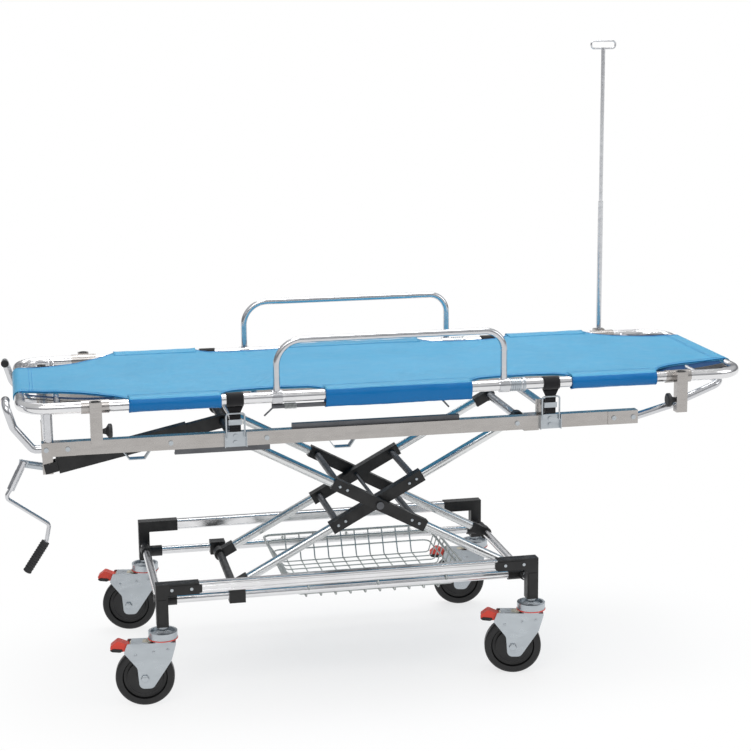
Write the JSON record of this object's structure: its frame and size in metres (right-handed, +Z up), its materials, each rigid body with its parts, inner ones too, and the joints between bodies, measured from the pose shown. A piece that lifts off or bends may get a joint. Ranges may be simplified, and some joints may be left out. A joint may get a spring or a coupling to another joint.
{
  "type": "ambulance cot",
  "caption": "Wheeled ambulance cot with a lift-off fabric litter, scissor legs raised by a hand crank, fold-down side rails, drip pole and wire basket.",
  "frame": {"origin": "on the floor under the middle of the whole cot's outer box", "axes": "+X to the head end, +Y to the left of a person pushing from the foot end, +Z up"},
  "size_m": [1.9379, 0.694, 1.642],
  "materials": {
    "stainless_steel": "brushed",
    "aluminium": "polished",
    "black_plastic": "satin",
    "dark_steel": "satin",
    "zinc_steel": "zinc plated",
    "blue_fabric": "coated, semi-gloss",
    "black_webbing": "woven",
    "black_wheel": "satin",
    "red_plastic": "gloss",
    "basket_wire": "bright zinc"
  },
  "bodies": {
    "base_frame": {"base_tubes": "aluminium", "frame_connectors": "black_plastic", "slide_tubes": "stainless_steel", "base_fasteners": "zinc_steel", "basket": "basket_wire"},
    "leg_a": {"leg_a_tubes": "aluminium", "leg_a_joints": "black_plastic", "leg_a_bars": "dark_steel"},
    "leg_b": {"leg_b_tubes": "aluminium", "leg_b_joints": "black_plastic", "leg_b_bars": "dark_steel"},
    "lower_slider": {"lower_slider": "black_plastic"},
    "upper_slider": {"upper_slider": "black_plastic"},
    "upper_frame": {"upper_rails": "stainless_steel", "rail_end_plates": "stainless_steel", "frame_cross_tubes": "stainless_steel", "rail_feet": "zinc_steel", "guide_channels": "dark_steel", "frame_blocks": "zinc_steel", "foot_handles": "aluminium", "head_handle": "aluminium", "rail_bolts": "zinc_steel", "bail_brackets": "zinc_steel"},
    "crank_spindle": {"crank_spindle": "zinc_steel"},
    "crank_arm": {"crank_arm": "stainless_steel"},
    "crank_grip": {"crank_grip": "black_plastic"},
    "screw_housing": {"screw_housing": "black_plastic"},
    "screw_tube": {"screw_tube": "black_plastic"},
    "litter": {"litter_tube": "aluminium", "pole_sockets": "zinc_steel", "fabric_panel": "blue_fabric", "litter_straps": "black_webbing", "litter_cross_bars": "stainless_steel", "rail_springs": "zinc_steel"},
    "pole_tube": {"drip_pole_tube": "stainless_steel"},
    "pole_rod": {"drip_pole_rod": "stainless_steel"},
    "fork_foot_right": {"caster_fork_foot_right": "zinc_steel"},
    "wheel_foot_right": {"caster_wheel_foot_right": "black_wheel"},
    "pedal_foot_right": {"brake_pedal_foot_right": "red_plastic"},
    "fork_foot_left": {"caster_fork_foot_left": "zinc_steel"},
    "wheel_foot_left": {"caster_wheel_foot_left": "black_wheel"},
    "pedal_foot_left": {"brake_pedal_foot_left": "red_plastic"},
    "fork_head_right": {"caster_fork_head_right": "zinc_steel"},
    "wheel_head_right": {"caster_wheel_head_right": "black_wheel"},
    "pedal_head_right": {"brake_pedal_head_right": "red_plastic"},
    "fork_head_left": {"caster_fork_head_left": "zinc_steel"},
    "wheel_head_left": {"caster_wheel_head_left": "black_wheel"},
    "pedal_head_left": {"brake_pedal_head_left": "red_plastic"},
    "bail_foot_right": {"strap_bail_foot_right": "zinc_steel"},
    "bail_foot_left": {"strap_bail_foot_left": "zinc_steel"},
    "bail_head_right": {"strap_bail_head_right": "zinc_steel"},
    "bail_head_left": {"strap_bail_head_left": "zinc_steel"},
    "knob_foot_right": {"clamp_knob_foot_right": "black_plastic"},
    "knob_foot_left": {"clamp_knob_foot_left": "black_plastic"},
    "knob_head_right": {"clamp_knob_head_right": "black_plastic"},
    "knob_head_left": {"clamp_knob_head_left": "black_plastic"},
    "side_rail_right": {"side_rail_right": "stainless_steel"},
    "release_right": {"release_rod_right": "stainless_steel"},
    "side_rail_left": {"side_rail_left": "stainless_steel"},
    "release_left": {"release_rod_left": "stainless_steel"}
  },
  "joints": [
    {"name": "lift", "type": "hinge", "parent": "base_frame", "child": "leg_a", "pos_m": [0.3797, 0, 0.25], "axis": [0, 1, 0], "range_deg": [-10.15, 5.75]},
    {"name": "leg_cross", "type": "hinge", "parent": "leg_a", "child": "leg_b", "pos_m": [-0.0063, 0, 0.457], "axis": [0, 1, 0], "range_deg": [-11.55, 20.35]},
    {"name": "lower_slider_turn", "type": "hinge", "parent": "leg_b", "child": "lower_slider", "pos_m": [-0.3923, 0, 0.25], "axis": [0, 1, 0], "range_deg": [-10.2, 5.8]},
    {"name": "upper_slider_turn", "type": "hinge", "parent": "leg_a", "child": "upper_slider", "pos_m": [-0.3923, 0, 0.664], "axis": [0, 1, 0], "range_deg": [-5.8, 10.2]},
    {"name": "upper_frame_turn", "type": "hinge", "parent": "leg_b", "child": "upper_frame", "pos_m": [0.3797, 0, 0.664], "axis": [0, 1, 0], "range_deg": [-10.2, 5.8]},
    {"name": "strut_turn", "type": "hinge", "parent": "upper_frame", "child": "screw_housing", "pos_m": [-0.8548, 0, 0.564], "axis": [0, 1, 0], "range_deg": [-1.86, 1.08]},
    {"name": "strut_tube_turn", "type": "hinge", "parent": "upper_slider", "child": "screw_tube", "pos_m": [-0.3923, 0, 0.664], "axis": [0, 1, 0], "range_deg": [-1.86, 1.08]},
    {"name": "swivel_foot_right", "type": "hinge", "parent": "base_frame", "child": "fork_foot_right", "pos_m": [-0.5923, -0.288, 0.177], "axis": [0, 0, 1], "continuous": true},
    {"name": "roll_foot_right", "type": "hinge", "parent": "fork_foot_right", "child": "wheel_foot_right", "pos_m": [-0.64004, -0.28298, 0.075], "axis": [0.1045, 0.9945, 0], "continuous": true},
    {"name": "brake_foot_right", "type": "hinge", "parent": "fork_foot_right", "child": "pedal_foot_right", "pos_m": [-0.68181, -0.27859, 0.155], "axis": [0.1045, 0.9945, 0], "range_deg": [-12, 6]},
    {"name": "swivel_foot_left", "type": "hinge", "parent": "base_frame", "child": "fork_foot_left", "pos_m": [-0.5923, 0.288, 0.177], "axis": [0, 0, 1], "continuous": true},
    {"name": "roll_foot_left", "type": "hinge", "parent": "fork_foot_left", "child": "wheel_foot_left", "pos_m": [-0.63957, 0.29634, 0.075], "axis": [0.1736, 0.9848, 0], "continuous": true},
    {"name": "brake_foot_left", "type": "hinge", "parent": "fork_foot_left", "child": "pedal_foot_left", "pos_m": [-0.68093, 0.30363, 0.155], "axis": [0.1736, 0.9848, 0], "range_deg": [-12, 6]},
    {"name": "swivel_head_right", "type": "hinge", "parent": "base_frame", "child": "fork_head_right", "pos_m": [0.3797, -0.288, 0.177], "axis": [0, 0, 1], "continuous": true},
    {"name": "roll_head_right", "type": "hinge", "parent": "fork_head_right", "child": "wheel_head_right", "pos_m": [0.33313, -0.27639, 0.075], "axis": [0.2419, 0.9703, 0], "continuous": true},
    {"name": "brake_head_right", "type": "hinge", "parent": "fork_head_right", "child": "pedal_head_right", "pos_m": [0.29237, -0.26623, 0.155], "axis": [0.2419, 0.9703, 0], "range_deg": [-12, 6]},
    {"name": "swivel_head_left", "type": "hinge", "parent": "base_frame", "child": "fork_head_left", "pos_m": [0.3797, 0.288, 0.177], "axis": [0, 0, 1], "continuous": true},
    {"name": "roll_head_left", "type": "hinge", "parent": "fork_head_left", "child": "wheel_head_left", "pos_m": [0.33243, 0.29634, 0.075], "axis": [0.1736, 0.9848, 0], "continuous": true},
    {"name": "brake_head_left", "type": "hinge", "parent": "fork_head_left", "child": "pedal_head_left", "pos_m": [0.29107, 0.30363, 0.155], "axis": [0.1736, 0.9848, 0], "range_deg": [-12, 6]},
    {"name": "crank_turn", "type": "hinge", "parent": "upper_frame", "child": "crank_spindle", "pos_m": [-0.8683, 0, 0.567], "axis": [-0.9774, 0, 0.2113], "range_deg": [-90, 90]},
    {"name": "crank_fold", "type": "hinge", "parent": "crank_spindle", "child": "crank_arm", "pos_m": [-0.91913, 0, 0.57799], "axis": [0, 1, 0], "range_deg": [0, 62]},
    {"name": "grip_spin", "type": "hinge", "parent": "crank_arm", "child": "crank_grip", "pos_m": [-0.8673, 0, 0.366], "axis": [-0.5547, 0, -0.8321], "continuous": true},
    {"name": "bail_foot_right_turn", "type": "hinge", "parent": "upper_frame", "child": "bail_foot_right", "pos_m": [-0.3963, -0.3095, 0.69], "axis": [1, 0, 0], "range_deg": [0, 100]},
    {"name": "bail_foot_left_turn", "type": "hinge", "parent": "upper_frame", "child": "bail_foot_left", "pos_m": [-0.3963, 0.3095, 0.69], "axis": [1, 0, 0], "range_deg": [-100, 0]},
    {"name": "bail_head_right_turn", "type": "hinge", "parent": "upper_frame", "child": "bail_head_right", "pos_m": [0.4217, -0.3095, 0.69], "axis": [1, 0, 0], "range_deg": [0, 100]},
    {"name": "bail_head_left_turn", "type": "hinge", "parent": "upper_frame", "child": "bail_head_left", "pos_m": [0.4217, 0.3095, 0.69], "axis": [1, 0, 0], "range_deg": [-100, 0]},
    {"name": "litter_lift", "type": "slide", "parent": "upper_frame", "child": "litter", "axis": [0, 0, 1], "range_m": [0, 0.3]},
    {"name": "knob_foot_right_turn", "type": "hinge", "parent": "litter", "child": "knob_foot_right", "pos_m": [-0.7393, -0.329, 0.73], "axis": [1, 0, 0], "continuous": true},
    {"name": "knob_foot_left_turn", "type": "hinge", "parent": "litter", "child": "knob_foot_left", "pos_m": [-0.7393, 0.329, 0.73], "axis": [1, 0, 0], "continuous": true},
    {"name": "knob_head_right_turn", "type": "hinge", "parent": "litter", "child": "knob_head_right", "pos_m": [0.7677, -0.329, 0.73], "axis": [1, 0, 0], "continuous": true},
    {"name": "knob_head_left_turn", "type": "hinge", "parent": "litter", "child": "knob_head_left", "pos_m": [0.7677, 0.329, 0.73], "axis": [1, 0, 0], "continuous": true},
    {"name": "side_rail_right_fold", "type": "hinge", "parent": "litter", "child": "side_rail_right", "pos_m": [-0.2903, -0.303, 0.787], "axis": [1, 0, 0], "range_deg": [0, 125]},
    {"name": "release_right_turn", "type": "hinge", "parent": "litter", "child": "release_right", "pos_m": [-0.1063, -0.303, 0.7632], "axis": [1, 0, 0], "range_deg": [-35, 0]},
    {"name": "side_rail_left_fold", "type": "hinge", "parent": "litter", "child": "side_rail_left", "pos_m": [-0.2903, 0.303, 0.787], "axis": [1, 0, 0], "range_deg": [-125, 0]},
    {"name": "release_left_turn", "type": "hinge", "parent": "litter", "child": "release_left", "pos_m": [-0.1063, 0.303, 0.7632], "axis": [1, 0, 0], "range_deg": [0, 35]},
    {"name": "pole_turn", "type": "hinge", "parent": "litter", "child": "pole_tube", "pos_m": [0.7677, 0.329, 0.698], "axis": [0, 0, 1], "continuous": true},
    {"name": "pole_extend", "type": "slide", "parent": "pole_tube", "child": "pole_rod", "axis": [0, 0, 1], "range_m": [-0.055, 0.2]}
  ],
  "couplings": [
    {"joint": "leg_cross", "follows": "lift", "ratio": -2},
    {"joint": "lower_slider_turn", "follows": "lift", "ratio": 1},
    {"joint": "upper_slider_turn", "follows": "lift", "ratio": -1},
    {"joint": "upper_frame_turn", "follows": "lift", "ratio": 1},
    {"joint": "strut_turn", "follows": "lift", "ratio": 0.1788},
    {"joint": "strut_tube_turn", "follows": "lift", "ratio": 0.1788}
  ]
}
